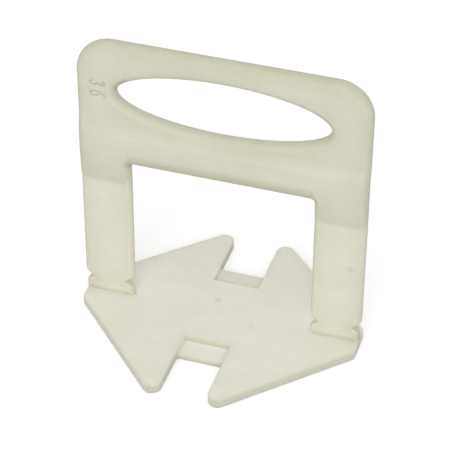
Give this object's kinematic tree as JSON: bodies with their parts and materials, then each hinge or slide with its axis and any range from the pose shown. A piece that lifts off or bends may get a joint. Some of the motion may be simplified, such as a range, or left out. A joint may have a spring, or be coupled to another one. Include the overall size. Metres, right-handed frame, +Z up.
{
  "type": "tile levelling clip",
  "caption": "Break-off tile levelling clip: pronged base that slides under tiles, thin notched legs for the joint, a wedge window and an oval finger hole, moulded in one piece.",
  "frame": {"origin": "middle of the base's underside, on the floor under the upright plate", "axes": "+X along the tile joint, +Y across the joint to the rear, +Z up the legs to the handle"},
  "size_m": [0.05, 0.044, 0.0536],
  "materials": {
    "natural_plastic": "satin, milky and slightly translucent"
  },
  "bodies": {
    "root": {"clip": "natural_plastic"}
  },
  "joints": []
}
